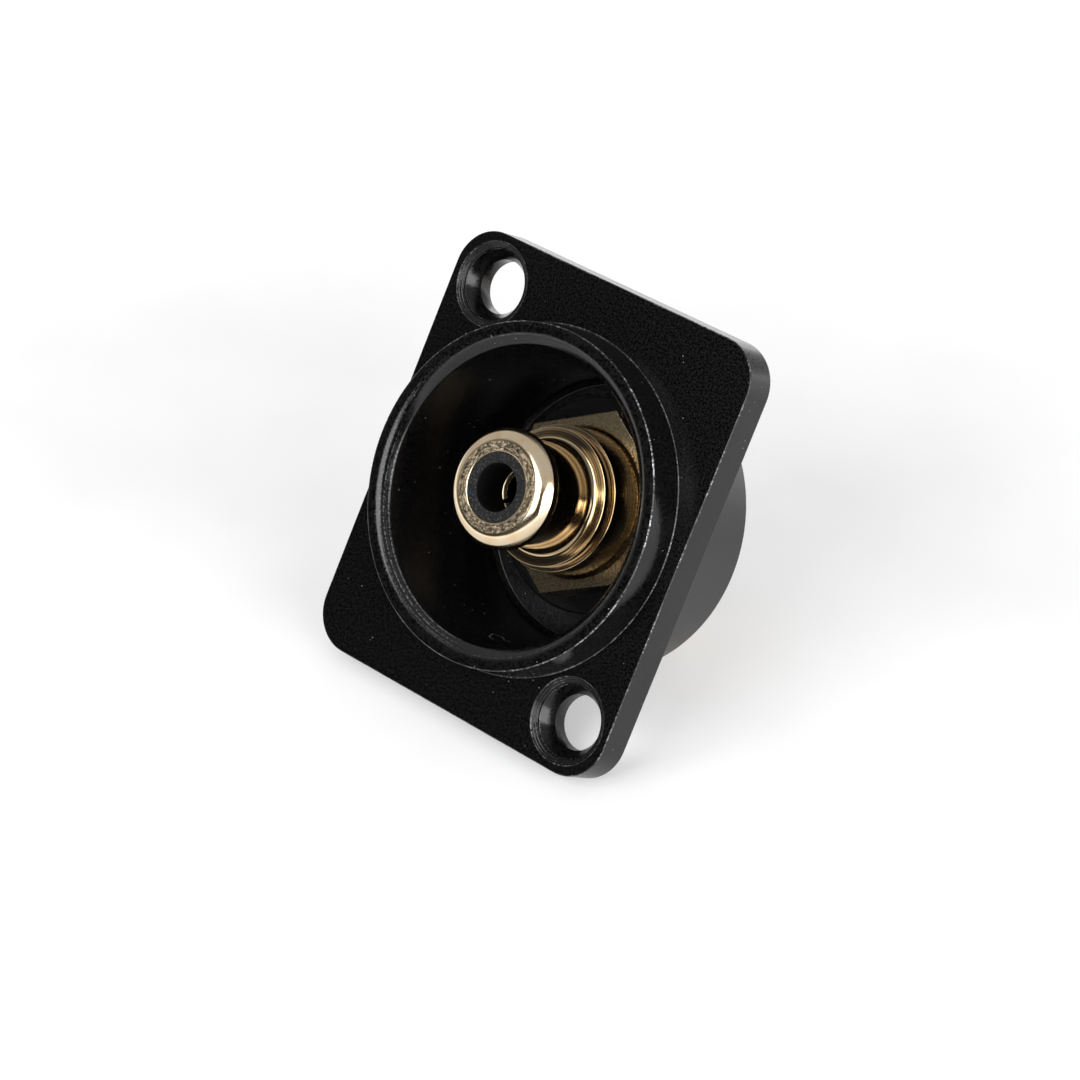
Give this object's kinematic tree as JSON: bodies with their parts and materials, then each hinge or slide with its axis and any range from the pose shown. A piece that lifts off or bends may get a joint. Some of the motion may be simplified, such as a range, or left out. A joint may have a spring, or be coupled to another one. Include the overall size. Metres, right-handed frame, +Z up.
{
  "type": "rca panel socket",
  "caption": "Recessed phono panel socket: gold coaxial socket standing in a tapered black cup with a rectangular flange and diagonal countersunk fixing holes.",
  "frame": {"origin": "middle of the flange's back face, which lies on the panel", "axes": "+X to the right and +Z up along the flange seen from the front, the front faces -Y"},
  "size_m": [0.026, 0.0243, 0.031],
  "materials": {
    "black_anodised": "satin black with bright worn arrises",
    "gold_plate": "polished gold plate",
    "gold_contact": "plain gold flash",
    "charcoal_plastic": "matt moulded",
    "black_plastic": "smooth moulded"
  },
  "bodies": {
    "root": {"housing": "black_anodised", "socket_shell": "gold_plate", "front_insulator": "charcoal_plastic", "rear_insulator": "black_plastic", "centre_contact": "gold_contact", "front_shoulder_washer": "black_plastic", "rear_shoulder_washer": "black_plastic", "solder_tag": "gold_contact", "lock_washer": "gold_contact", "hex_nut": "gold_plate"}
  },
  "joints": []
}
